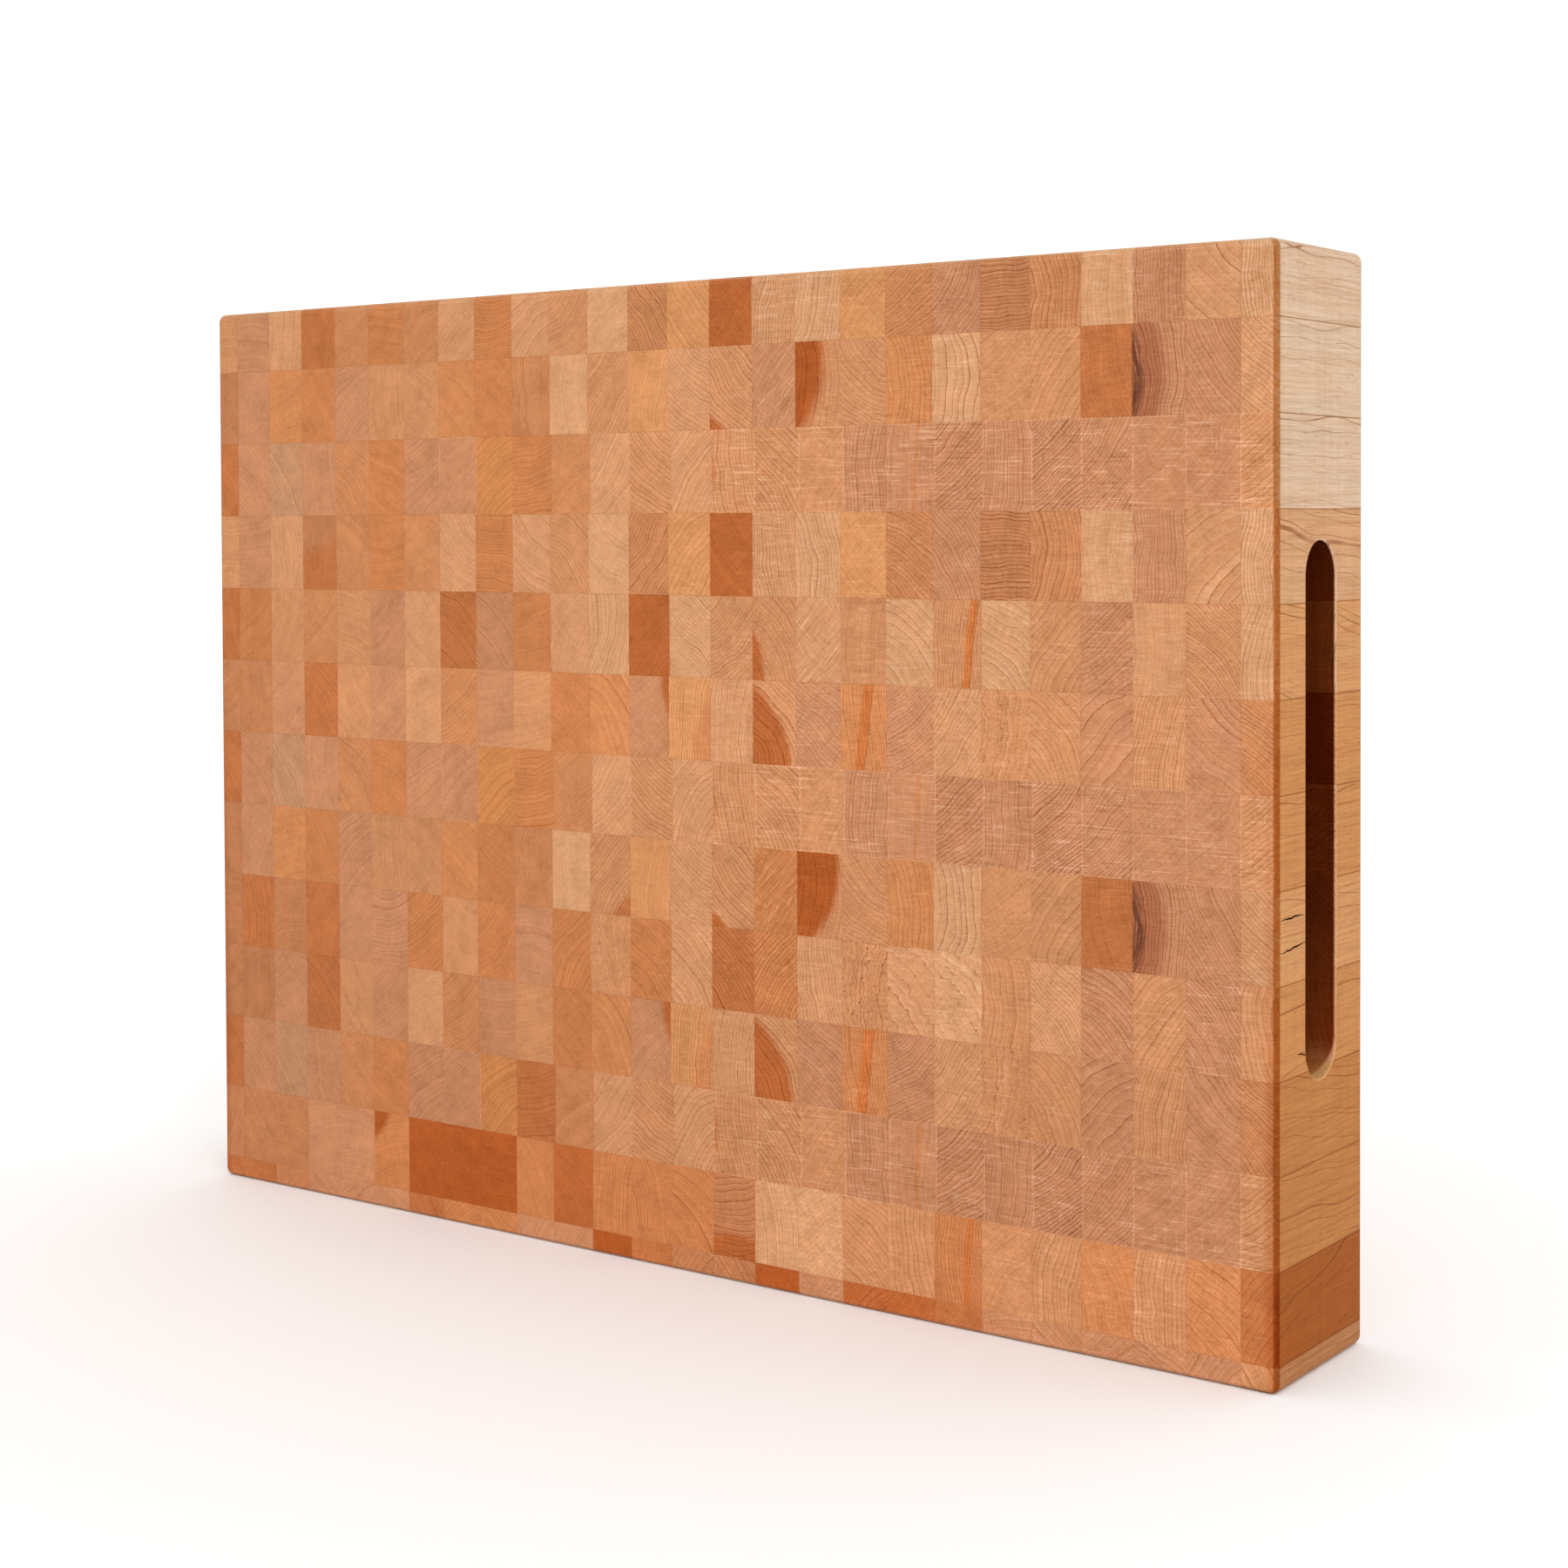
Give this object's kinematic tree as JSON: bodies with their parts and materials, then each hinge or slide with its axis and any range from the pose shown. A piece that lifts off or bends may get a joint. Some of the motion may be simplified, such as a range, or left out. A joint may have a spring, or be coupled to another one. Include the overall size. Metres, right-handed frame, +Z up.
{
  "type": "cutting board",
  "caption": "Thick end-grain maple butcher block built from glued rows of square-sawn blocks, with a routed finger slot in each end face.",
  "frame": {"origin": "middle of the bottom long edge face, on the surface that the board stands on", "axes": "+X along the board's length to its right end, +Y through its thickness to the back face (the front face looks along -Y), +Z up its height"},
  "size_m": [0.6096, 0.0826, 0.4572],
  "materials": {
    "face_maple": "end grain, oiled satin",
    "pale_maple": "pale long grain, oiled satin",
    "honey_maple": "golden long grain, oiled satin",
    "amber_maple": "amber long grain, oiled satin",
    "brown_maple": "heart-brown long grain, oiled satin",
    "pink_maple": "pink-tan long grain, oiled satin"
  },
  "bodies": {
    "root": {"row_01_core": "face_maple", "row_01_left_end": "pale_maple", "row_01_right_end": "pale_maple", "row_02_core": "face_maple", "row_02_left_end": "pale_maple", "row_02_right_end": "pale_maple", "row_03_core": "face_maple", "row_03_left_end": "pale_maple", "row_03_right_end": "pale_maple", "row_04_core": "face_maple", "row_04_left_end": "honey_maple", "row_04_right_end": "honey_maple", "row_05_core": "face_maple", "row_05_left_cheek_back": "honey_maple", "row_05_left_cheek_front": "honey_maple", "row_05_left_slot_block": "face_maple", "row_05_right_cheek_back": "honey_maple", "row_05_right_cheek_front": "honey_maple", "row_05_right_slot_block": "face_maple", "row_06_core": "face_maple", "row_06_left_cheek_back": "honey_maple", "row_06_left_cheek_front": "honey_maple", "row_06_left_slot_block": "face_maple", "row_06_right_cheek_back": "honey_maple", "row_06_right_cheek_front": "honey_maple", "row_06_right_slot_block": "face_maple", "row_07_core": "face_maple", "row_07_left_cheek_back": "honey_maple", "row_07_left_cheek_front": "honey_maple", "row_07_left_slot_block": "face_maple", "row_07_right_cheek_back": "honey_maple", "row_07_right_cheek_front": "honey_maple", "row_07_right_slot_block": "face_maple", "row_08_core": "face_maple", "row_08_left_cheek_back": "honey_maple", "row_08_left_cheek_front": "honey_maple", "row_08_left_slot_block": "face_maple", "row_08_right_cheek_back": "honey_maple", "row_08_right_cheek_front": "honey_maple", "row_08_right_slot_block": "face_maple", "row_09_core": "face_maple", "row_09_left_cheek_back": "honey_maple", "row_09_left_cheek_front": "honey_maple", "row_09_left_slot_block": "face_maple", "row_09_right_cheek_back": "honey_maple", "row_09_right_cheek_front": "honey_maple", "row_09_right_slot_block": "face_maple", "row_10_core": "face_maple", "row_10_left_end": "amber_maple", "row_10_right_end": "amber_maple", "row_11_core": "face_maple", "row_11_left_end": "amber_maple", "row_11_right_end": "amber_maple", "row_12_core": "face_maple", "row_12_left_end": "brown_maple", "row_12_right_end": "brown_maple", "row_13_core": "face_maple", "row_13_left_end": "pink_maple", "row_13_right_end": "pink_maple"}
  },
  "joints": []
}
